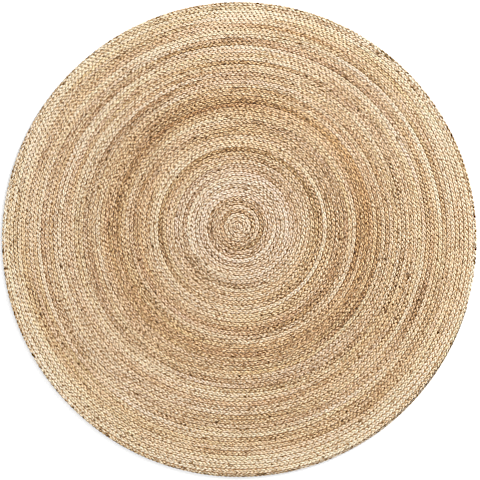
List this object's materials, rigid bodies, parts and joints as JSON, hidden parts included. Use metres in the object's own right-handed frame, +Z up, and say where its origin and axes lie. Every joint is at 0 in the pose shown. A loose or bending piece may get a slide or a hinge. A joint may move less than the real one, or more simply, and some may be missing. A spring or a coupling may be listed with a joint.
{
  "type": "round jute rug",
  "caption": "Round flat rug made of one jute braid wound in a spiral and sewn row to row.",
  "frame": {"origin": "middle of the flat underside, on the floor", "axes": "+Z up out of the rug's face, +Y towards the edge that the coil's start lies nearest to"},
  "size_m": [1.218, 1.22, 0.007],
  "materials": {
    "braided_jute": "matte"
  },
  "bodies": {
    "root": {"jute_braid_coil": "braided_jute"}
  },
  "joints": []
}
